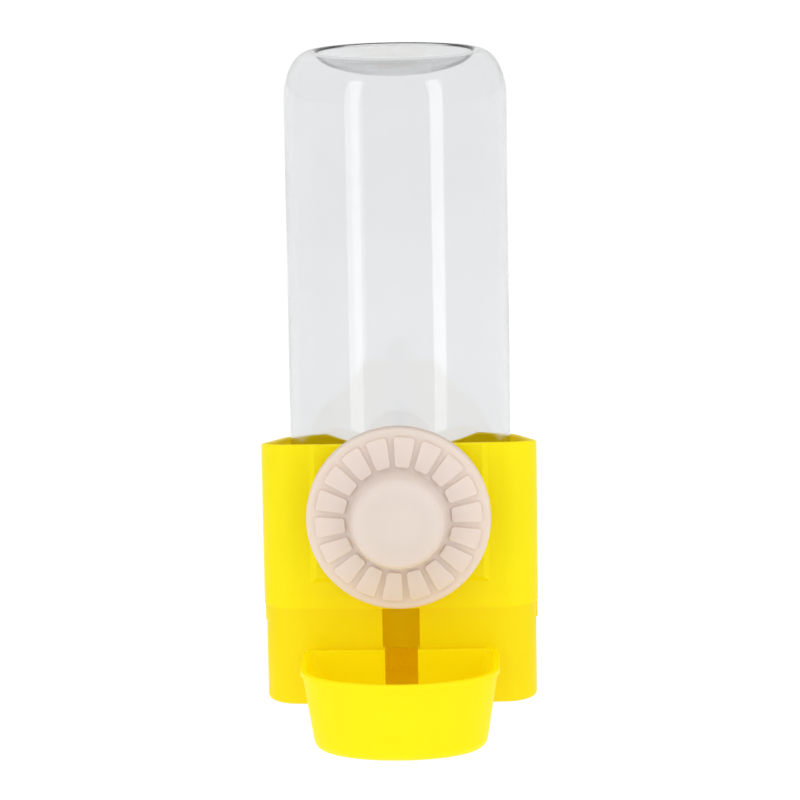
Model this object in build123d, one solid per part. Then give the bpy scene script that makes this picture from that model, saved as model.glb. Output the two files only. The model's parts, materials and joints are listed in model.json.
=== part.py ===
from build123d import *
import math
import os

# A gravity waterer that hangs on a cage. Millimetres, +Z up.
# The origin is on the clamping face, on the axis of the clamp bolt.
# The knob and the drinking bowl are on the -Y side, the bottle stands behind the face.

# Housing; its front corners meet at this width before they are rounded
HOUSING_WIDTH = 108.3
HOUSING_CORNER = 13.0
BACK_RADIUS = 46.8
FRONT_BULGE = 2.5
FRONT_CREST = 1.2
WALL = 2.2
RIM_Z = 26.0
SEAM_Z = -37.4
BASE_Z = -75.0
RIM_SLOPE = 8.1
RIM_ROUND = 0.8
LOWER_INSET = 0.75
FLOOR = 2.0
BASE_ROUND = 2.0

# Scalloped back edge of the upper shell
SCALLOP_RADIUS = 60.0
SCALLOP_DEPTH = 6.5

# Clamping pad on the front wall
PAD_TOP_WIDTH = 63.0
PAD_BOTTOM_Z = -25.0
PAD_DRAFT = 45.0
PAD_DEPTH = 3.0

# Ledge that carries the bottle's shoulder
LEDGE_Z = -30.0
LEDGE_THICK = 2.4
LEDGE_HOLE = 32.9

# Side latches between the two shells
LATCH_FROM_Y = 18.0
LATCH_LENGTH = 30.0
LATCH_DROP = 7.6
LATCH_THICK = 1.6
LATCH_GAP = 0.2

# Lip of the lower shell inside the upper shell
LIP_HEIGHT = 4.4
LIP_THICK = 1.6
LIP_GAP = 0.3
SLOT_HALF = 7.05

# Trough: bowl, neck and basin
BOWL_WIDTH = 73.0
BOWL_REACH = 54.0
BOWL_NOSE = 26.0
BOWL_CORNER = 5.0
BOWL_BACK_Y = 1.5
BOWL_RIM_Z = -53.0
BOWL_DEPTH = 30.6
BOWL_DRAFT = 9.0
BOWL_ROUND = 5.0
BOWL_REAR = 20.0
BOWL_WALL = 2.0
BOWL_LIP = 0.5
BOWL_LIP_HEIGHT = 1.8
LIP_ROUND = 0.45
NECK_HALF = 6.95
NECK_WALL = 0.7
BASIN_INSET = 3.6
BASIN_WALL = 1.6
POST_RADIUS = 3.0
RIB_REACH = 9.0
RIB_HALF = 0.8
RIB_GAP = 2.5
ROOT = 0.5

# Bottle
BOTTLE_Y = 50.2
BOTTLE_RADIUS = 42.5
BOTTLE_TOP_Z = 169.0
BASE_RING = 31.8
BASE_SHOULDER = 18.0
PUNT_RADIUS = 28.0
PUNT_DEPTH = 9.0
BODY_END_Z = 6.0
BOTTLE_WALL = 0.8
NECK_RADIUS = 18.8
NECK_TOP_Z = -38.0
LIP_Z = -56.3
COLLAR_RADIUS = 21.0
COLLAR_THICK = 1.5

# Cap and valve
CAP_RADIUS = 21.0
CAP_BOTTOM_Z = -60.0
CAP_TOP_Z = -40.0
CAP_FACE = 2.2
CAP_BORE = 18.9
OUTLET_RADIUS = 6.0
CHAMBER_OUTER = 11.0
CHAMBER_INNER = 9.6
CHAMBER_TOP_Z = -44.2
RETAINER_THICK = 2.0
STEM_RADIUS = 2.2
STEM_BOTTOM_Z = -60.6
STEM_TOP_Z = -38.5
WINDOW_HALF = 2.5
WINDOW_HEIGHT = 5.0
RETAINER_HOLE = 1.6
RETAINER_HOLE_AT = 7.2
DISC_RADIUS = 7.6
DISC_BOTTOM_Z = -52.6
DISC_THICK = 1.6
SEAL_THICK = 1.4
SPRING_RADIUS = 4.6
SPRING_WIRE = 0.8
SPRING_TURNS = 4
POST_GAP = 0.3

# Clamp
CLAMP_GAP = 5.0
BOLT_RADIUS = 5.0
BOLT_HEAD_RADIUS = 10.0
BOLT_HEAD_THICK = 3.0
BOLT_HEAD_GAP = 0.15
SQUARE_NECK = 10.0
BOLT_END_Y = -16.0
BOLT_FLAT = 4.2
RETAINER_POCKET = 9.6
RETAINER_DEPTH = 1.4
WASHER_BACK_Y = 0.3
WASHER_THICK = 0.8
WASHER_NOTCHES = 6
HOLE_GAP = 0.1
BOLT_HEAD_ROUND = 1.4
PLATE_ROUND = 0.6
PLATE_RADIUS = 28.0
PLATE_THICK = 2.4
KNOB_RADIUS = 34.4
KNOB_REAR_Y = -6.2
RING_THICK = 6.0
RING_WIDTH = 3.0
CONE_RISE = 1.6
HUB_RADIUS = 19.3
HUB_TOP_RADIUS = 17.0
HUB_FACE_Y = -23.4
HUB_EDGE = 2.2
PAD_COUNT = 18
PAD_INNER = 20.5
PAD_OUTER = 31.0
PAD_ANGLE = 14.0
PAD_HEIGHT = 1.3
KNOB_WALL = 3.0
HUB_WALL = 2.5
BOSS_RADIUS = 12.5
NUT_ACROSS_FLATS = 16.0
NUT_FROM_Y = -9.2
NUT_THICK = 6.0
RUNNING_GAP = 0.06


def plan():
    """Plan of the housing: a shallow arc in front, rounded corners, sides closing in to a round back."""
    half = HOUSING_WIDTH / 2
    bulge_radius = (half**2 + FRONT_BULGE**2) / (2 * FRONT_BULGE)
    corner = Vector(half, FRONT_CREST)
    reach = corner - Vector(0, BOTTLE_Y)
    lean = math.atan2(reach.Y, reach.X) + math.acos(BACK_RADIUS / reach.length)
    touch = Vector(BACK_RADIUS * math.cos(lean), BOTTLE_Y + BACK_RADIUS * math.sin(lean))
    left = Vector(-touch.X, touch.Y)
    sides = Polyline(left, (-half, FRONT_CREST), (half, FRONT_CREST), touch)
    back = ThreePointArc(touch, (0, BOTTLE_Y + BACK_RADIUS), left)
    outline = make_face(sides + back) & (Pos(0, FRONT_CREST + bulge_radius) * Circle(bulge_radius))
    return fillet(outline.vertices().sort_by(Axis.Y)[:2], HOUSING_CORNER)


PLAN = plan()


def inset_plan(inset):
    """Housing plan moved inwards by the same distance all round."""
    return offset(PLAN, -inset) if inset else PLAN


def prism(outline, low, high):
    """Upright prism of an outline between two heights."""
    return extrude(Pos(0, 0, low) * outline, high - low)


def block(low, high):
    """Box between two corners."""
    size = [b - a for a, b in zip(low, high)]
    centre = [(a + b) / 2 for a, b in zip(low, high)]
    return Pos(*centre) * Box(*size)


def upright(radius, low, high, x=0.0, y=BOTTLE_Y):
    """Vertical cylinder between two heights, by default on the bottle's axis."""
    return Pos(x, y, (low + high) / 2) * Cylinder(radius, high - low)


def along_y(radius, low, high):
    """Cylinder on the clamp axis between two Y positions."""
    return Pos(0, (low + high) / 2, 0) * Rot(90, 0, 0) * Cylinder(radius, high - low)


def turned(points, y=BOTTLE_Y):
    """Solid of revolution about the bottle's axis from (radius, height) corners."""
    profile = make_face(Polyline(*[(r, 0, z) for r, z in points], close=True))
    return Pos(0, y, 0) * revolve(profile, Axis.Z)


def clamping_pad():
    """Raised pad with sloping sides, flat at y = 0, running up to the rim."""
    middle = (PAD_BOTTOM_Z + RIM_Z + 10) / 2
    height = RIM_Z + 10 - PAD_BOTTOM_Z
    face = Plane((0, 0, middle), x_dir=(1, 0, 0), z_dir=(0, 1, 0)) * Rectangle(PAD_TOP_WIDTH, height)
    return extrude(face, PAD_DEPTH, taper=-PAD_DRAFT)


def latch_zone(margin):
    """The stretch of both side walls that the latches cover, from above the seam to the tongues' ends."""
    reach = HOUSING_WIDTH
    low = (-reach, LATCH_FROM_Y - margin, SEAM_Z - LATCH_DROP - margin)
    return block(low, (reach, LATCH_FROM_Y + LATCH_LENGTH + margin, SEAM_Z + 0.5))


def latch_tabs():
    """Tongues that hang from both side walls over the lower shell."""
    ring = prism(inset_plan(0) - inset_plan(LATCH_THICK), SEAM_Z - 2 * LATCH_DROP, SEAM_Z + 1)
    return ring & latch_zone(0)


def rim_edges(shell):
    """Edges of the sloping rim, inside and out, in front of the scalloped back."""
    slope = math.tan(math.radians(RIM_SLOPE))
    edges = []
    for edge in shell.edges():
        points = [edge @ 0, edge @ 0.5, edge @ 1]
        if all(abs(p.Z - RIM_Z + slope * (p.Y - FRONT_CREST)) < 0.02 for p in points):
            edges.append(edge)
    return edges


def upper_housing():
    """Upper shell: sloping rim, scalloped back, pad, ledge for the bottle and latch tabs."""
    top = RIM_Z + 1
    shell = prism(inset_plan(0), SEAM_Z, top) + clamping_pad()
    cavity = prism(inset_plan(WALL), SEAM_Z - 1, top + 20)
    shell -= cavity
    ledge = prism(inset_plan(WALL - 0.2), LEDGE_Z - LEDGE_THICK, LEDGE_Z)
    ledge -= upright(LEDGE_HOLE, LEDGE_Z - 5, LEDGE_Z + 5)
    shell += ledge
    shell += latch_tabs()
    cut = Pos(0, FRONT_CREST, RIM_Z) * Rot(-RIM_SLOPE, 0, 0) * Pos(0, 0, 30) * Box(300, 400, 60)
    shell -= cut
    back = BOTTLE_Y + BACK_RADIUS
    back_rim = RIM_Z - (back - FRONT_CREST) * math.tan(math.radians(RIM_SLOPE))
    scallop_z = back_rim - SCALLOP_DEPTH + SCALLOP_RADIUS
    shell -= Pos(0, back, scallop_z) * Rot(90, 0, 0) * Cylinder(SCALLOP_RADIUS, BACK_RADIUS)
    shell = fillet(rim_edges(shell), RIM_ROUND)
    hole = SQUARE_NECK / 2 + HOLE_GAP
    shell -= block((-hole, -1, -hole), (hole, 6, hole))
    shell -= along_y(RETAINER_POCKET, -1, RETAINER_DEPTH)
    return shell


def lower_housing():
    """Lower shell with a floor, a lip inside the upper shell and an open-topped front slot."""
    outer = prism(inset_plan(LOWER_INSET), BASE_Z, SEAM_Z - 0.15)
    outer = fillet(outer.faces().sort_by(Axis.Z)[0].edges(), BASE_ROUND)
    lip_inset = WALL + LIP_GAP
    shell = outer + prism(inset_plan(lip_inset), SEAM_Z - 4, SEAM_Z + LIP_HEIGHT)
    shell -= prism(inset_plan(LOWER_INSET + WALL), BASE_Z + FLOOR, SEAM_Z - 4)
    shell -= prism(inset_plan(lip_inset + LIP_THICK), SEAM_Z - 5, SEAM_Z + LIP_HEIGHT + 1)
    recess = prism(PLAN - inset_plan(LATCH_THICK + LATCH_GAP), SEAM_Z - 2 * LATCH_DROP, SEAM_Z + 1)
    shell -= recess & latch_zone(LATCH_GAP)
    slot_floor = BASE_Z + FLOOR - 0.2
    shell -= block((-SLOT_HALF, -2, slot_floor), (SLOT_HALF, 12, SEAM_Z + LIP_HEIGHT + 1))
    return shell


def bowl_outline(half_width, reach):
    """Plan of the bowl: straight sides from behind its back wall and a half-ellipse nose."""
    nose = BOWL_NOSE - (BOWL_REACH - reach)
    straight = -(reach - nose)
    sides = Polyline(
        (-half_width, straight), (-half_width, BOWL_REAR), (half_width, BOWL_REAR), (half_width, straight)
    )
    front = EllipticalCenterArc((0, straight), half_width, nose, start_angle=180, arc_size=180)
    return make_face(sides + front)


def cut_back(solid, back_y, corner):
    """Cuts a bowl shape off flat at back_y and rounds the two upright edges of the cut."""
    far = 200.0
    solid -= block((-far, back_y, -far), (far, far, far))
    uprights = []
    for edge in solid.edges():
        ends = (edge @ 0, edge @ 1)
        on_cut = all(abs(p.Y - back_y) < 0.02 for p in (*ends, edge @ 0.5))
        if on_cut and all(abs(p.X) > BOWL_WIDTH / 3 for p in ends) and abs(ends[0].Z - ends[1].Z) > 1:
            uprights.append(edge)
    longest = max(edge.length for edge in uprights)
    return fillet([edge for edge in uprights if edge.length > longest - 0.1], corner)


def bowl_shell():
    """Drafted bowl with a thin lip, its back wall cut flat in front of the housing."""
    half = BOWL_WIDTH / 2
    outer = extrude(Pos(0, 0, BOWL_RIM_Z) * bowl_outline(half, BOWL_REACH), -BOWL_DEPTH, taper=BOWL_DRAFT)
    outer = fillet(outer.faces().sort_by(Axis.Z)[0].edges(), BOWL_ROUND)
    lip = prism(bowl_outline(half + BOWL_LIP, BOWL_REACH + BOWL_LIP), BOWL_RIM_Z - BOWL_LIP_HEIGHT, BOWL_RIM_Z)
    shell = cut_back(outer, BOWL_BACK_Y, BOWL_CORNER) + cut_back(lip, BOWL_BACK_Y, BOWL_CORNER)
    inner_plan = bowl_outline(half - BOWL_WALL, BOWL_REACH - BOWL_WALL)
    inner = extrude(Pos(0, 0, BOWL_RIM_Z) * inner_plan, BOWL_WALL - BOWL_DEPTH, taper=BOWL_DRAFT)
    inner = fillet(inner.faces().sort_by(Axis.Z)[0].edges(), BOWL_ROUND - BOWL_WALL)
    shell -= cut_back(inner, BOWL_BACK_Y - BOWL_WALL, BOWL_CORNER - BOWL_WALL)
    rim = [e for e in shell.edges() if abs((e @ 0).Z - BOWL_RIM_Z) < 0.01 and abs((e @ 0.5).Z - BOWL_RIM_Z) < 0.01]
    front = [e for e in rim if (e @ 0.5).Y < BOWL_BACK_Y - BOWL_CORNER]
    return fillet(front, LIP_ROUND)


def basin():
    """Water basin under the bottle, inside the lower shell."""
    floor = BASE_Z + FLOOR
    body = prism(inset_plan(BASIN_INSET), floor, BOWL_RIM_Z)
    return body - prism(inset_plan(BASIN_INSET + BASIN_WALL), floor + BASIN_WALL, BOWL_RIM_Z + 1)


def trough():
    """Bowl, neck and basin as one moulding, with the post that lifts the valve stem."""
    floor = BASE_Z + FLOOR
    basin_front = FRONT_CREST + BASIN_INSET
    neck = block((-NECK_HALF, BOWL_BACK_Y - ROOT, floor), (NECK_HALF, basin_front + 1.0, BOWL_RIM_Z))
    channel = NECK_HALF - NECK_WALL
    body = bowl_shell() + neck + basin()
    water_floor = floor + BASIN_WALL
    front = BOWL_BACK_Y - BOWL_WALL - 0.1
    body -= block((-channel, front, water_floor), (channel, basin_front + BASIN_WALL + 0.6, BOWL_RIM_Z + 1))
    body += upright(POST_RADIUS, water_floor - ROOT, STEM_BOTTOM_Z - POST_GAP)
    for turn in range(4):
        rib = block((0, -RIB_HALF, water_floor - ROOT), (RIB_REACH, RIB_HALF, CAP_BOTTOM_Z - RIB_GAP))
        body += Pos(0, BOTTLE_Y, 0) * Rot(0, 0, 45 + 90 * turn) * rib
    return body


def bottle_curve(wall):
    """Half outline of the bottle, moved inwards by a wall thickness, from base to lip."""
    side = BOTTLE_RADIUS - wall
    ring = BASE_RING
    top = BOTTLE_TOP_Z - wall
    bend = side - ring
    punt_z = BOTTLE_TOP_Z - PUNT_DEPTH - wall
    neck = NECK_RADIUS - 2 * wall if wall else NECK_RADIUS
    dome = ThreePointArc((0, 0, punt_z - 2.5), (PUNT_RADIUS / 2, 0, punt_z - 1.9), (PUNT_RADIUS, 0, punt_z))
    rise = Line((PUNT_RADIUS, 0, punt_z), (ring - 2.0, 0, top))
    flat = Line((ring - 2.0, 0, top), (ring, 0, top))
    upper = EllipticalCenterArc((ring, top - BASE_SHOULDER), bend, BASE_SHOULDER, start_angle=0, arc_size=90)
    drop = BODY_END_Z - NECK_TOP_Z
    lower = EllipticalCenterArc((neck, BODY_END_Z), side - neck, drop, start_angle=270, arc_size=90)
    stand = Plane.XZ
    body = Line((side, 0, top - BASE_SHOULDER), (side, 0, BODY_END_Z))
    finish = Line((neck, 0, NECK_TOP_Z), (neck, 0, LIP_Z))
    return [dome, rise, flat, stand * upper, body, stand * lower, finish], neck, punt_z - 2.5


def bottle():
    """Thin blown bottle, upside down, with a recessed base and a collar above its neck."""
    solids = []
    for wall in (0.0, BOTTLE_WALL):
        curve, neck, centre_z = bottle_curve(wall)
        end_z = LIP_Z
        close = [Line((neck, 0, end_z), (0, 0, end_z)), Line((0, 0, end_z), (0, 0, centre_z))]
        face = make_face(curve + close)
        solids.append(revolve(face, Axis.Z))
    hollow = solids[0] - solids[1]
    collar_top = NECK_TOP_Z + COLLAR_THICK / 2
    collar = turned(
        [
            (NECK_RADIUS - 0.8, collar_top - COLLAR_THICK),
            (COLLAR_RADIUS, collar_top - COLLAR_THICK),
            (COLLAR_RADIUS, collar_top),
            (NECK_RADIUS - 0.8, collar_top),
        ],
        y=0,
    )
    return Pos(0, BOTTLE_Y, 0) * (hollow + collar)


def bottle_cap():
    """Screw cap with the outlet and the chamber that holds the valve."""
    face_top = CAP_BOTTOM_Z + CAP_FACE
    cap = upright(CAP_RADIUS, CAP_BOTTOM_Z, CAP_TOP_Z)
    cap = chamfer(cap.edges().sort_by(Axis.Z)[0], 0.8)
    cap -= upright(CAP_BORE, face_top, CAP_TOP_Z + 1)
    cap += upright(CHAMBER_OUTER, face_top - 0.5, CHAMBER_TOP_Z)
    cap -= upright(CHAMBER_INNER, face_top, CHAMBER_TOP_Z + 1)
    cap -= upright(OUTLET_RADIUS, CAP_BOTTOM_Z - 1, face_top + 1)
    for turn in range(4):
        window = block((0, -WINDOW_HALF, face_top), (CHAMBER_OUTER + 1, WINDOW_HALF, face_top + WINDOW_HEIGHT))
        cap -= Pos(0, BOTTLE_Y, 0) * Rot(0, 0, 90 * turn) * window
    return cap


def cap_gasket():
    """Flat rubber ring between the cap's face and the bottle's lip."""
    low = CAP_BOTTOM_Z + CAP_FACE
    return upright(CAP_BORE - 0.2, low, LIP_Z) - upright(CHAMBER_OUTER + 0.4, low - 1, LIP_Z + 1)


def valve_stem():
    """Plunger: a rod with a disc that shuts the outlet."""
    disc = upright(DISC_RADIUS, DISC_BOTTOM_Z, DISC_BOTTOM_Z + DISC_THICK)
    return upright(STEM_RADIUS, STEM_BOTTOM_Z, STEM_TOP_Z) + disc


def valve_seal():
    """Rubber ring under the plunger's disc."""
    low = DISC_BOTTOM_Z - SEAL_THICK
    return upright(DISC_RADIUS + 0.4, low, DISC_BOTTOM_Z) - upright(STEM_RADIUS + 0.02, low - 1, DISC_BOTTOM_Z + 1)


def retainer_bottom():
    """Height of the underside of the spring retainer."""
    return CHAMBER_TOP_Z - RETAINER_THICK


def spring_retainer():
    """Slotted disc pressed into the valve chamber; the stem slides in its hole."""
    disc = upright(CHAMBER_INNER, retainer_bottom(), CHAMBER_TOP_Z)
    disc -= upright(STEM_RADIUS + RUNNING_GAP, retainer_bottom() - 1, CHAMBER_TOP_Z + 1)
    for turn in range(3):
        hole = upright(RETAINER_HOLE, retainer_bottom() - 1, CHAMBER_TOP_Z + 1, x=RETAINER_HOLE_AT, y=0)
        disc -= Pos(0, BOTTLE_Y, 0) * Rot(0, 0, 120 * turn) * hole
    return disc


def valve_spring():
    """Compression spring between the plunger's disc and the retainer."""
    low = DISC_BOTTOM_Z + DISC_THICK + SPRING_WIRE / 2 + 0.05
    high = retainer_bottom() - SPRING_WIRE / 2 - 0.05
    path = Helix((high - low) / SPRING_TURNS, high - low, SPRING_RADIUS)
    section = Plane(origin=path @ 0, z_dir=path % 0) * Circle(SPRING_WIRE / 2)
    return Pos(0, BOTTLE_Y, low) * sweep(section, path=path)


def clamp_bolt():
    """Square-necked bolt with a low head; its thread has a keying flat on each side."""
    inner_face = FRONT_CREST + WALL + BOLT_HEAD_GAP
    head = along_y(BOLT_HEAD_RADIUS, inner_face, inner_face + BOLT_HEAD_THICK)
    head = fillet(head.edges().sort_by(Axis.Y)[-1], BOLT_HEAD_ROUND)
    half = SQUARE_NECK / 2
    neck = block((-half, RETAINER_DEPTH + 0.1, -half), (half, inner_face + 0.2, half))
    shank = along_y(BOLT_RADIUS, BOLT_END_Y, inner_face)
    shank = chamfer(shank.edges().sort_by(Axis.Y)[0], 0.8)
    for side in (-1, 1):
        far = side * (BOLT_RADIUS + 1)
        near = side * BOLT_FLAT
        shank -= block((min(near, far), BOLT_END_Y - 1, -10), (max(near, far), RETAINER_DEPTH - 0.2, 10))
    return head + neck + shank


def bolt_retainer():
    """Star washer pressed on the bolt, sunk in the pad."""
    low = WASHER_BACK_Y
    high = low + WASHER_THICK
    ring = along_y(RETAINER_POCKET - 0.6, low, high) - along_y(BOLT_RADIUS, low - 1, high + 1)
    for turn in range(WASHER_NOTCHES):
        notch = block((-0.8, low - 1, BOLT_RADIUS - 1), (0.8, high + 1, BOLT_RADIUS + 2))
        ring -= Rot(0, 360 / WASHER_NOTCHES * (turn + 0.5), 0) * notch
    return ring


def pressure_plate():
    """Disc that bears on the cage wires; its hole has two flats, so it slides but never turns."""
    rear = -CLAMP_GAP
    front = rear - PLATE_THICK
    disc = along_y(PLATE_RADIUS, front, rear)
    disc = fillet(disc.edges().sort_by(Axis.Y)[-1], PLATE_ROUND)
    hole = along_y(BOLT_RADIUS + RUNNING_GAP, front - 1, rear + 1)
    flat = BOLT_FLAT + RUNNING_GAP
    hole &= block((-flat, front - 1, -20), (flat, rear + 1, 20))
    return disc - hole


def knob_profile():
    """Half section of the knob as (radius, y) corners, without the pads."""
    ring_front = KNOB_REAR_Y - RING_THICK
    cone_front = ring_front - CONE_RISE
    rear_recess = -CLAMP_GAP - PLATE_THICK - 0.1
    inner_roof = ring_front + KNOB_WALL
    hub_roof = HUB_FACE_Y + HUB_WALL
    return [
        (0.0, HUB_FACE_Y),
        (HUB_TOP_RADIUS, HUB_FACE_Y),
        (HUB_RADIUS, cone_front),
        (KNOB_RADIUS - RING_WIDTH, ring_front),
        (KNOB_RADIUS, ring_front + 1.0),
        (KNOB_RADIUS, KNOB_REAR_Y),
        (PLATE_RADIUS + 1.6, KNOB_REAR_Y),
        (PLATE_RADIUS + 0.4, rear_recess),
        (PLATE_RADIUS - 1.5, rear_recess),
        (PLATE_RADIUS - 1.5, inner_roof),
        (HUB_TOP_RADIUS - KNOB_WALL + 1.5, inner_roof),
        (HUB_TOP_RADIUS - KNOB_WALL, hub_roof),
        (0.0, hub_roof),
    ]


def knob_pad():
    """One raised pad: a rounded sector between two radii."""
    half = math.radians(PAD_ANGLE / 2)
    outer = PAD_OUTER
    inner = PAD_INNER
    corners = [
        (inner * math.sin(-half), inner * math.cos(half)),
        (outer * math.sin(-half), outer * math.cos(half)),
        (outer * math.sin(half), outer * math.cos(half)),
        (inner * math.sin(half), inner * math.cos(half)),
    ]
    outline = make_face(Polyline(*corners, close=True))
    far_corners = outline.vertices().sort_by(Axis.Y)[-2:]
    outline = fillet(far_corners, 1.6)
    ring_front = KNOB_REAR_Y - RING_THICK
    base = Plane((0, ring_front + 1.5, 0), x_dir=(1, 0, 0), z_dir=(0, -1, 0))
    pad = extrude(base * outline, 6.0)
    run = HUB_RADIUS - (KNOB_RADIUS - RING_WIDTH)
    tilt = math.degrees(math.atan2(CONE_RISE, -run))
    top = Pos(0, ring_front, KNOB_RADIUS - RING_WIDTH) * Rot(-tilt, 0, 0) * Pos(0, -PAD_HEIGHT - 10, 0)
    return pad - top * Box(60, 20, 80)


def clamp_knob():
    """Hollow knob: a ring, 18 pads, a round hub and a boss that holds the nut."""
    knob = revolve(make_face(Polyline(*[(r, y) for r, y in knob_profile()], close=True)), Axis.Y)
    rims = [e for e in knob.edges().filter_by(GeomType.CIRCLE) if abs(e.center().Y - HUB_FACE_Y) < 0.01]
    knob = fillet(rims, HUB_EDGE)
    rear = [e for e in knob.edges().filter_by(GeomType.CIRCLE) if abs(e.radius - KNOB_RADIUS) < 0.01]
    knob = fillet(rear, 0.8)
    pad = knob_pad()
    for number in range(PAD_COUNT):
        turn = 360 / PAD_COUNT * (number + 0.25)
        knob += Rot(0, turn, 0) * pad
    knob += along_y(BOSS_RADIUS, HUB_FACE_Y + HUB_WALL - 0.5, NUT_FROM_Y)
    nut = Plane((0, NUT_FROM_Y + 1, 0), x_dir=(1, 0, 0), z_dir=(0, -1, 0)) * RegularPolygon(
        NUT_ACROSS_FLATS / 2, 6, major_radius=False
    )
    knob -= extrude(nut, NUT_THICK + 1)
    knob -= along_y(BOLT_RADIUS + 1.2, HUB_FACE_Y + HUB_WALL, NUT_FROM_Y)
    return knob


def knob_nut():
    """Hexagon nut pressed into the knob's boss."""
    hexagon = RegularPolygon(NUT_ACROSS_FLATS / 2, 6, major_radius=False)
    face = Plane((0, NUT_FROM_Y, 0), x_dir=(1, 0, 0), z_dir=(0, -1, 0)) * hexagon
    nut = extrude(face, NUT_THICK)
    return nut - along_y(BOLT_RADIUS + RUNNING_GAP, NUT_FROM_Y - NUT_THICK - 1, NUT_FROM_Y + 1)


PARTS = {
    "upper_housing": upper_housing,
    "lower_housing": lower_housing,
    "trough": trough,
    "bottle": bottle,
    "bottle_cap": bottle_cap,
    "cap_gasket": cap_gasket,
    "valve_stem": valve_stem,
    "valve_seal": valve_seal,
    "valve_spring": valve_spring,
    "spring_retainer": spring_retainer,
    "clamp_bolt": clamp_bolt,
    "bolt_retainer": bolt_retainer,
    "pressure_plate": pressure_plate,
    "clamp_knob": clamp_knob,
    "knob_nut": knob_nut,
}

os.makedirs("parts", exist_ok=True)
for name, make in PARTS.items():
    export_step(make(), f"parts/{name}.step")
    print("wrote", name)
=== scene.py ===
# %% [markdown]
# # A gravity waterer for a cage
#
# A clear bottle stands upside down in a yellow two-part housing. A big ribbed knob clamps the housing to
# the wires of a cage, and the water runs from a basin under the bottle to a small bowl in front.
#
# The measured model gives the size and place of every part. This notebook dresses it: parts that are
# right as they stand get a good finish, and parts that are seen closely are modelled again with bmesh.

# %% Load the measured model
import json
import math

import bmesh
import bpy
from mathutils import Matrix, Vector

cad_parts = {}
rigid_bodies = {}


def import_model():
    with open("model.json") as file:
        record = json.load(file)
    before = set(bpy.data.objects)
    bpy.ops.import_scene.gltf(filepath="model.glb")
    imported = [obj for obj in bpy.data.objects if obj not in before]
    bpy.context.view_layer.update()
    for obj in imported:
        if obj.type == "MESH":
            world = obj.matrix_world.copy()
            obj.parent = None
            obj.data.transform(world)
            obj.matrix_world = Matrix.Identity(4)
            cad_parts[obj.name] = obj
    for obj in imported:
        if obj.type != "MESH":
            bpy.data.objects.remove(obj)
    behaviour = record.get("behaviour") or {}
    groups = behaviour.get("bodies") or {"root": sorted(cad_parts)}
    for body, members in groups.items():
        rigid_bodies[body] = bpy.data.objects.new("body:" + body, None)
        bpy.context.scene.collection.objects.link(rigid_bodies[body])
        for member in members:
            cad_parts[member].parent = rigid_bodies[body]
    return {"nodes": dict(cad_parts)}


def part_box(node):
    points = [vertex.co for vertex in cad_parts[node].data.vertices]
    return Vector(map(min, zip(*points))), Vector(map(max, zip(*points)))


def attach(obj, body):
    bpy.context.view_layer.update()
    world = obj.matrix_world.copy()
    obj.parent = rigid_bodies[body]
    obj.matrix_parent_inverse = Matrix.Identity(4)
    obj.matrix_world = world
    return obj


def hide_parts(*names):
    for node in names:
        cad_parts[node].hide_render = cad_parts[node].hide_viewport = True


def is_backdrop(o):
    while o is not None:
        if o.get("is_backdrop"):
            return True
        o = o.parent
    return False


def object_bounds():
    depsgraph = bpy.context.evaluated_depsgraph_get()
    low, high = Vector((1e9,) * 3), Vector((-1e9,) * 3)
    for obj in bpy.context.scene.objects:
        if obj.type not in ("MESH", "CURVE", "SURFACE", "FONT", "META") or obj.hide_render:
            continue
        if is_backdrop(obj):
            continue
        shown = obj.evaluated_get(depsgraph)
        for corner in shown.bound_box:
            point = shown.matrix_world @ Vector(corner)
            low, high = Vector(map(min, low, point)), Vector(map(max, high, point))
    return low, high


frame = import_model()
cad_low, cad_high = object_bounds()
print("parts:", sorted(frame["nodes"]))
print("box:", tuple(cad_low), tuple(cad_high))

# %% [markdown]
# ## Finishes
#
# Moulded plastic is never one even colour. Pigment drifts a little, the surface is a little rougher in
# some places than others, and the mould leaves a very fine texture. One function builds all of that
# from two noise textures, and each finish only chooses its own numbers. Everything that is the same all
# over, such as the gloss coat or how deep the light sinks in, is set straight on the shader.
#
# Object coordinates are used for every pattern, so it stays fixed to the part from any side.

# %% One builder for moulded finishes
MM = 0.001


def grey(value):
    """A grey colour of one value."""
    return (value, value, value, 1)


def ramp_between(tree, source, low, high, start=0.3, stop=0.7):
    """A colour ramp that spreads a noise value between two colours."""
    ramp = tree.nodes.new("ShaderNodeValToRGB")
    ramp.color_ramp.elements[0].position = start
    ramp.color_ramp.elements[0].color = low
    ramp.color_ramp.elements[1].position = stop
    ramp.color_ramp.elements[1].color = high
    tree.links.new(source, ramp.inputs["Fac"])
    return ramp.outputs["Color"]


def noise(tree, scale, detail=3.0):
    """A noise texture on Object coordinates; scale is in waves per metre."""
    place = tree.nodes.new("ShaderNodeTexCoord")
    texture = tree.nodes.new("ShaderNodeTexNoise")
    texture.inputs["Scale"].default_value = scale
    texture.inputs["Detail"].default_value = detail
    tree.links.new(place.outputs["Object"], texture.inputs["Vector"])
    return texture.outputs["Fac"]


def let_light_through(tree, shader, colour, share):
    """Mixes in a translucent surface, so a thin wall lit from outside glows inside."""
    thin = tree.nodes.new("ShaderNodeBsdfTranslucent")
    thin.inputs["Color"].default_value = (*colour, 1)
    mix = tree.nodes.new("ShaderNodeMixShader")
    mix.inputs["Fac"].default_value = share
    tree.links.new(shader.outputs["BSDF"], mix.inputs[1])
    tree.links.new(thin.outputs["BSDF"], mix.inputs[2])
    tree.links.new(mix.outputs["Shader"], tree.nodes["Material Output"].inputs["Surface"])


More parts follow.
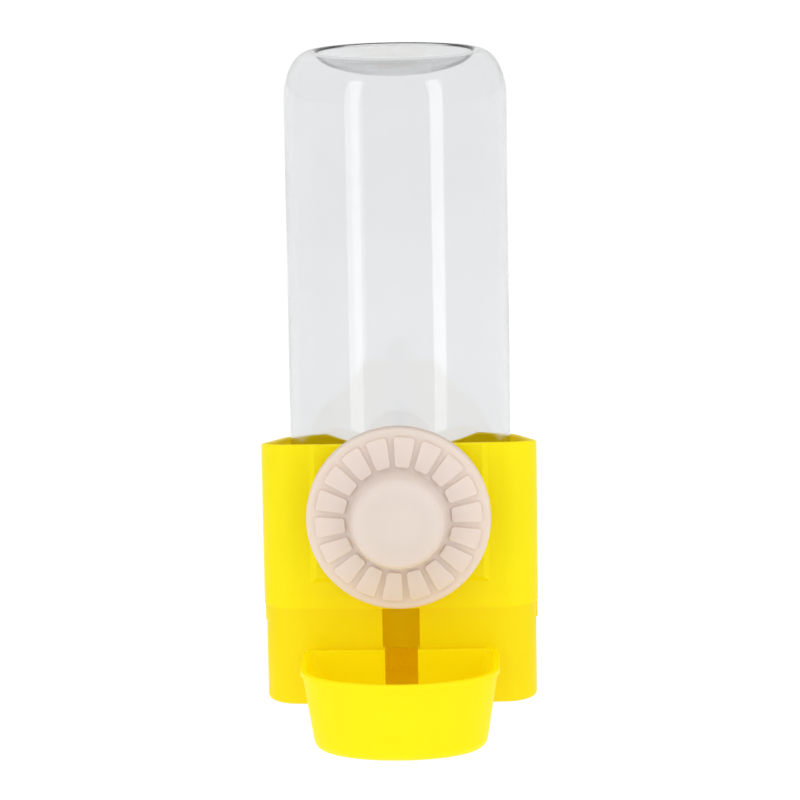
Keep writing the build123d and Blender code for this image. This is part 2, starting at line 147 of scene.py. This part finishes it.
def moulded(name, dark, light, rough=(0.25, 0.4), grain=(900, 0.03), through=None, share=0.3, **constants):
    """Drifting colour, uneven gloss and a fine surface texture; through is a colour light passes in."""
    finish = bpy.data.materials.new(name)
    finish.use_nodes = True
    tree = finish.node_tree
    shader = tree.nodes["Principled BSDF"]
    for socket, value in constants.items():
        shader.inputs[socket.replace("_", " ")].default_value = value
    colour = ramp_between(tree, noise(tree, 22), (*dark, 1), (*light, 1))
    tree.links.new(colour, shader.inputs["Base Color"])
    gloss = ramp_between(tree, noise(tree, 70), grey(rough[0]), grey(rough[1]))
    tree.links.new(gloss, shader.inputs["Roughness"])
    bump = tree.nodes.new("ShaderNodeBump")
    bump.inputs["Strength"].default_value = grain[1]
    bump.inputs["Distance"].default_value = 0.3 * MM
    tree.links.new(noise(tree, grain[0]), bump.inputs["Height"])
    tree.links.new(bump.outputs["Normal"], shader.inputs["Normal"])
    if through:
        let_light_through(tree, shader, through, share)
    return finish


# %% [markdown]
# The yellow is a bright polypropylene. Some light passes right through its thin walls, and the rest
# bounces about inside the housing and turns orange. A render follows too few bounces to show all of
# that, so a very faint orange glow stands in for the light that is lost. It is not a lamp. The knob is an
# off-white plastic that lets some light through too, so it picks up a little of the yellow behind it.

# %% The plastics
GLOW = (1.0, 0.5, 0.0, 1)


def yellow_plastic(name, dark, light, through):
    """Bright thin-walled plastic, with the faint glow described above."""
    return moulded(
        name,
        dark,
        light,
        rough=(0.3, 0.45),
        through=through,
        share=0.35,
        Specular_IOR_Level=0.2,
        Emission_Color=GLOW,
        Emission_Strength=0.17,
    )


yellow = yellow_plastic("yellow_plastic", (0.84, 0.85, 0.0), (0.87, 0.89, 0.002), (1.0, 0.86, 0.0))
# The lower tray is the same yellow plastic. Its copy is a little darker and more orange: painted shade below
# the seam, where the upper shell overhangs it.
shaded_tray_yellow = yellow_plastic("painted_shade_tray_plastic", (0.81, 0.80, 0.0), (0.84, 0.84, 0.002), (1.0, 0.82, 0.0))
ivory = moulded(
    "ivory_plastic",
    (0.90, 0.83, 0.80),
    (0.93, 0.87, 0.84),
    rough=(0.4, 0.55),
    through=(1.0, 0.87, 0.72),
    share=0.4,
    Specular_IOR_Level=0.4,
)
white = moulded("white_plastic", (0.78, 0.78, 0.76), (0.84, 0.84, 0.82), rough=(0.35, 0.5))
rubber = moulded("black_rubber", (0.015, 0.015, 0.015), (0.035, 0.035, 0.035), rough=(0.55, 0.75))
print("plastics ready")

# %% [markdown]
# The bolt, nut and washers are zinc plated: metallic, slightly blue, with soft cloudy patches in the
# plating. A metal is the same shader with its metallic value turned up.

# %% The metal
zinc = moulded(
    "zinc_plate", (0.55, 0.56, 0.58), (0.72, 0.73, 0.75), rough=(0.22, 0.38), grain=(1500, 0.05), Metallic=1.0
)

# %% [markdown]
# The bottle is thin blown PET. Real walls are modelled, inside and out, so the clear material bends
# light at the rims and the shoulder as it should. Blowing leaves the wall a little uneven, so a slow
# ripple in the normal makes the reflections waver.

# %% The clear bottle plastic
pet = bpy.data.materials.new("clear_pet")
pet.use_nodes = True
pet_tree = pet.node_tree
pet_shader = pet_tree.nodes["Principled BSDF"]
pet_shader.inputs["Transmission Weight"].default_value = 1.0
pet_shader.inputs["IOR"].default_value = 1.45
tint = ramp_between(pet_tree, noise(pet_tree, 12), (0.855, 0.86, 0.865, 1), (0.885, 0.89, 0.895, 1))
pet_tree.links.new(tint, pet_shader.inputs["Base Color"])
haze = ramp_between(pet_tree, noise(pet_tree, 40), grey(0.03), grey(0.07))
pet_tree.links.new(haze, pet_shader.inputs["Roughness"])
ripple = pet_tree.nodes.new("ShaderNodeBump")
ripple.inputs["Strength"].default_value = 0.15
ripple.inputs["Distance"].default_value = 0.4 * MM
pet_tree.links.new(noise(pet_tree, 30, 1.0), ripple.inputs["Height"])
pet_tree.links.new(ripple.outputs["Normal"], pet_shader.inputs["Normal"])
print("clear plastic ready")

# %% [markdown]
# ## Dressing the measured parts
#
# These parts are right as they stand, so they keep their meshes and only get a finish.

# %% Give the kept parts their finishes
FINISHES = {
    "upper_housing": yellow,
    # painted shade: the lower tray takes the darker copy of the yellow
    "lower_housing": shaded_tray_yellow,
    "trough": yellow,
    "bottle_cap": yellow,
    "cap_gasket": rubber,
    "valve_seal": rubber,
    "valve_stem": white,
    "spring_retainer": white,
    "valve_spring": zinc,
    "bolt_retainer": zinc,
    "knob_nut": zinc,
    "pressure_plate": ivory,
    "clamp_bolt": zinc,
    "clamp_knob": ivory,
    "bottle": pet,
}
for part, finish in FINISHES.items():
    mesh = frame["nodes"][part].data
    mesh.materials.clear()
    mesh.materials.append(finish)
print("finished", len(FINISHES), "parts")

# %% [markdown]
# ## The bottle
#
# A bottle is a turned shape, so its outline is drawn once and spun about its axis. The outline runs from
# the middle of the recessed base, over the shoulder, down the body to the lip, and back up inside.

# %% Helpers for turned shapes
def arc(centre, radii, start, stop, steps):
    """Points on an ellipse in the (radius, height) plane, between two angles in degrees."""
    angles = [math.radians(start + (stop - start) * i / steps) for i in range(steps + 1)]
    return [(centre[0] + radii[0] * math.cos(a), centre[1] + radii[1] * math.sin(a)) for a in angles]


def finish_mesh(work, name, finish, sharp=35.0):
    """Turns a bmesh into an object with smooth faces and creases only at sharp edges."""
    mesh = bpy.data.meshes.new(name)
    work.to_mesh(mesh)
    work.free()
    mesh.materials.append(finish)
    mesh.shade_smooth()
    mesh.set_sharp_from_angle(angle=math.radians(sharp))
    piece = bpy.data.objects.new(name, mesh)
    bpy.context.collection.objects.link(piece)
    print(name, len(mesh.polygons), "faces")
    return piece


def spun(work, outline, axis, centre, steps):
    """Spins a (radius, height) outline a full turn; height runs along the axis."""
    side = Vector((0, 0, 1)) if abs(axis.z) < 0.5 else Vector((1, 0, 0))
    points = [work.verts.new(centre + side * r + axis * h) for r, h in outline]
    edges = [work.edges.new(pair) for pair in zip(points, points[1:])]
    bmesh.ops.spin(
        work, geom=points + edges, cent=centre, axis=axis, angle=math.tau, steps=steps, use_merge=True
    )
    bmesh.ops.remove_doubles(work, verts=work.verts, dist=1e-6)
    bmesh.ops.recalc_face_normals(work, faces=work.faces)
    return work


# %% Spin the bottle
low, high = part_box("bottle")
bottle_axis = Vector(((low.x + high.x) / 2, (low.y + high.y) / 2, 0))
body_r = (high.x - low.x) / 2
top_z, lip_z = high.z, low.z
WALL = 0.5 * MM
SHOULDER_HEIGHT = 18 * MM
BODY_END = 6 * MM
NECK_RADIUS, NECK_TOP = 18.8 * MM, -38 * MM
RING_RADIUS = body_r - 10.7 * MM
RING_ROUND = 1.4 * MM
# The hollow in the base as (radius, depth below the ring), from the middle outwards.
HOLLOW = [(0, 9.0), (8, 8.8), (16, 7.9), (22, 6.4), (26, 4.8), (28.4, 3.1), (29.6, 1.6)]


def bottle_side(inset):
    """Half outline of one wall surface, from the middle of the base to the lip."""
    side, neck, top = body_r - inset, NECK_RADIUS - 3 * inset, top_z - inset
    hollow = [(radius * MM, top - depth * MM) for radius, depth in HOLLOW]
    ring = arc((RING_RADIUS - 0.6 * MM, top - RING_ROUND), (RING_ROUND, RING_ROUND), 170, 90, 5)
    shoulder = arc((RING_RADIUS, top - SHOULDER_HEIGHT), (side - RING_RADIUS, SHOULDER_HEIGHT), 88, 0, 16)
    body_height = top - SHOULDER_HEIGHT - BODY_END
    body = [(side, BODY_END + body_height * (1 - i / 8)) for i in range(1, 8)]
    funnel = arc((neck, BODY_END), (side - neck, BODY_END - NECK_TOP), 0, -90, 20)
    return hollow + ring + shoulder + body + funnel + [(neck, lip_z)]


outline = bottle_side(0) + bottle_side(WALL)[::-1]
glass = spun(bmesh.new(), outline, Vector((0, 0, 1)), bottle_axis, 128)
bottle = finish_mesh(glass, "bottle_blown", pet, sharp=60)
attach(bottle, "bottle")
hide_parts("bottle")

# %% [markdown]
# ## The knob
#
# The knob is hollow: a wide ring, a shallow cone and a round hub. It turns about the Y axis, so its
# outline is spun about that axis, with heights counted towards the front.

# %% Spin the knob's body
FRONT = Vector((0, -1, 0))
low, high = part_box("clamp_knob")
knob_r = high.x
knob_middle = Vector(((low.x + high.x) / 2, 0, (low.z + high.z) / 2))
hub_top, ring_back = -low.y, -high.y
ring_top = ring_back + 6 * MM
cone_top = ring_top + 1.6 * MM
ring_inner = knob_r - 3 * MM
HUB_RADIUS, FACE_RADIUS = 19.3 * MM, 17.2 * MM
HUB_EDGE, RIM_EDGE, SKIRT_EDGE = 2.6 * MM, 1.3 * MM, 0.8 * MM
PLATE_RADIUS = 28 * MM
PLATE_STEP = 1.3 * MM
BOSS_RADIUS, BOSS_BORE, BOSS_END = 12.5 * MM, 9.3 * MM, 9.2 * MM
HUB_WALL, CONE_WALL = 2.5 * MM, 3 * MM

face = [(0, hub_top), (8 * MM, hub_top)]
face += arc((FACE_RADIUS - HUB_EDGE, hub_top - HUB_EDGE), (HUB_EDGE, HUB_EDGE), 90, 8, 8)
cone = [(HUB_RADIUS - 0.5 * MM, cone_top + 0.5 * MM), (HUB_RADIUS + 0.4 * MM, cone_top), (ring_inner, ring_top)]
rim = arc((knob_r - RIM_EDGE, ring_top - RIM_EDGE * 0.6), (RIM_EDGE, RIM_EDGE), 80, 0, 6)
skirt = arc((knob_r - SKIRT_EDGE, ring_back + SKIRT_EDGE), (SKIRT_EDGE, SKIRT_EDGE), 0, -90, 4)

step_height = ring_back + PLATE_STEP
roof, hub_roof = ring_top - CONE_WALL, hub_top - HUB_WALL
inside = [(PLATE_RADIUS + 1.6 * MM, ring_back), (PLATE_RADIUS + 0.4 * MM, step_height)]
inside += [(PLATE_RADIUS - 1.5 * MM, step_height), (PLATE_RADIUS - 1.5 * MM, roof)]
inside += [(15.5 * MM, roof), (14 * MM, hub_roof)]
boss = [(BOSS_RADIUS, hub_roof), (BOSS_RADIUS, BOSS_END), (BOSS_BORE, BOSS_END)]
boss += [(BOSS_BORE, hub_roof), (0, hub_roof)]
knob_work = spun(bmesh.new(), face + cone + rim + skirt + inside + boss, FRONT, knob_middle, 144)
print("knob body:", len(knob_work.faces), "faces")

# %% [markdown]
# Eighteen raised pads stand on the cone. One pad is drawn as a sector, pushed out from inside the cone,
# and softened: first its upright corners, then its top edge. The rest are turned copies.

# %% Add the pads
PAD_COUNT = 18
PAD_HEIGHT = 1.3 * MM
PAD_HALF_ANGLE = math.radians(7.5)
PAD_INNER, PAD_OUTER = 20.0 * MM, 31.2 * MM
PAD_SINK = 1.5 * MM
PAD_CORNER, PAD_SOFTENING = 1.1 * MM, 0.35 * MM
START_TURN = 5


def on_knob(radius, angle, height):
    """A point on the knob: angle from straight up, height towards the front."""
    return knob_middle + Vector((radius * math.sin(angle), 0, radius * math.cos(angle))) + FRONT * height


def cone_height(radius):
    """Height of the cone's surface at a radius."""
    return ring_top + (ring_inner - radius) / (ring_inner - HUB_RADIUS) * (cone_top - ring_top)


def forwardness(side):
    """How far forward a face lies, so the pad's top ranks first."""
    return (side.calc_center_median() - knob_middle).dot(FRONT)


def pad(work):
    """Makes the first pad and returns its geometry."""
    arcs = [(PAD_INNER, side * PAD_HALF_ANGLE) for side in (-1, 0, 1)]
    arcs += [(PAD_OUTER, side * PAD_HALF_ANGLE) for side in (1, 0.4, -0.4, -1)]
    floor_height = ring_top - PAD_SINK
    base = work.faces.new([work.verts.new(on_knob(r, a, floor_height)) for r, a in arcs])
    raised = bmesh.ops.extrude_face_region(work, geom=[base])["geom"]
    top = next(item for item in raised if isinstance(item, bmesh.types.BMFace))
    for vert in top.verts:
        offset = vert.co - knob_middle
        rise = cone_height(math.hypot(offset.x, offset.z)) + PAD_HEIGHT - floor_height
        vert.co += FRONT * rise
    corners = [v for v in top.verts if abs(abs(math.atan2(v.co.x, v.co.z)) - PAD_HALF_ANGLE) < 0.01]
    uprights = [e for vert in corners for e in vert.link_edges if e not in top.edges[:]]
    bmesh.ops.bevel(
        work, geom=uprights, offset=PAD_CORNER, segments=4, profile=0.5, affect="EDGES", material=-1
    )
    top = max(work.faces, key=forwardness)
    bmesh.ops.bevel(
        work, geom=top.edges[:], offset=PAD_SOFTENING, segments=3, profile=0.5, affect="EDGES", material=-1
    )
    return work.verts[:] + work.edges[:] + work.faces[:]


pads = bmesh.new()
first = pad(pads)
for number in range(PAD_COUNT):
    turned = first
    if number:
        turned = bmesh.ops.duplicate(pads, geom=first)["geom"]
        points = [item for item in turned if isinstance(item, bmesh.types.BMVert)]
        step = Matrix.Rotation(math.tau * number / PAD_COUNT, 3, "Y")
        bmesh.ops.rotate(pads, verts=points, cent=knob_middle, matrix=step)
start = Matrix.Rotation(math.radians(START_TURN), 3, "Y")
bmesh.ops.rotate(pads, verts=pads.verts, cent=knob_middle, matrix=start)
bmesh.ops.recalc_face_normals(pads, faces=pads.faces)
pad_mesh = bpy.data.meshes.new("pads")
pads.to_mesh(pad_mesh)
pads.free()
knob_work.from_mesh(pad_mesh)
bpy.data.meshes.remove(pad_mesh)
knob = finish_mesh(knob_work, "ribbed_knob", ivory, sharp=40)
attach(knob, "knob")
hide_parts("clamp_knob")

# %% [markdown]
# ## Floor, light and camera
#
# A pale floor lies well below the waterer, so it gives a clean ground with no shadow line.

# %% Floor
FLOOR_DROP = 0.25
floor_work = bmesh.new()
bmesh.ops.create_grid(floor_work, x_segments=1, y_segments=1, size=30)
bmesh.ops.translate(floor_work, verts=floor_work.verts, vec=(0, 0, cad_low.z - FLOOR_DROP))
pale = moulded(
    "pale_floor",
    (0.93, 0.93, 0.93),
    (0.95, 0.95, 0.95),
    rough=(0.8, 0.9),
    Emission_Color=(1, 1, 1, 1),
    Emission_Strength=0.2,
)
floor = finish_mesh(floor_work, "floor", pale)
floor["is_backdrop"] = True

# %% [markdown]
# Even white light comes from all round. Two tall softboxes at the sides draw the bright upright streaks
# down the bottle, and a wide one above lights the rims.

# %% Soft light
world = bpy.data.worlds.new("studio")
bpy.context.scene.world = world
world.use_nodes = True
world.node_tree.nodes["Background"].inputs["Color"].default_value = (1, 1, 1, 1)
world.node_tree.nodes["Background"].inputs["Strength"].default_value = 0.88


def softbox(name, place, target, width, height, power):
    """A rectangular area light that faces a point."""
    lamp = bpy.data.lights.new(name, "AREA")
    lamp.shape = "RECTANGLE"
    lamp.size, lamp.size_y = width, height
    lamp.energy = power
    holder = bpy.data.objects.new(name, lamp)
    holder.location = place
    holder.rotation_euler = (Vector(target) - Vector(place)).to_track_quat("-Z", "Y").to_euler()
    bpy.context.collection.objects.link(holder)


middle = Vector((0, 0, 0.05))
softbox("left_box", (-1.1, -1.1, 0.35), middle, 0.45, 1.6, 3.2)
softbox("right_box", (1.1, -1.1, 0.35), middle, 0.4, 1.6, 3.0)
softbox("top_box", (0.1, -0.3, 1.5), middle, 1.2, 1.2, 2.0)
print("three softboxes placed")

# %% [markdown]
# A long lens stands back from the waterer and looks slightly down on it, which keeps the sides upright.

# %% Camera
CAMERA_DISTANCE = 1.465
CAMERA_HEIGHT = 0.300
CAMERA_TURN = math.radians(1.2)
CAMERA_TILT = math.radians(10.305)
CAMERA_ROLL = math.radians(0.95)
camera = bpy.data.cameras.new("camera")
camera.sensor_width = 36
camera.lens = 173.5
viewer = bpy.data.objects.new("camera", camera)
viewer.location = bottle_axis + Vector(
    (CAMERA_DISTANCE * math.sin(CAMERA_TURN), -CAMERA_DISTANCE * math.cos(CAMERA_TURN), CAMERA_HEIGHT)
)
turn = Matrix.Rotation(CAMERA_TURN, 4, "Z")
tilt = Matrix.Rotation(math.pi / 2 - CAMERA_TILT, 4, "X")
roll = Matrix.Rotation(-CAMERA_ROLL, 4, "Z")
viewer.matrix_world = Matrix.Translation(viewer.location) @ turn @ tilt @ roll
bpy.context.collection.objects.link(viewer)
bpy.context.scene.camera = viewer
bpy.context.scene.view_settings.view_transform = "Standard"

# %% [markdown]
# The last cell prints the box of the dressed model, so that it can be set beside the box of the measured one
# printed at the start.

# %% Print the size of the dressed model
low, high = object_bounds()
print("visual box:", tuple(low), tuple(high))
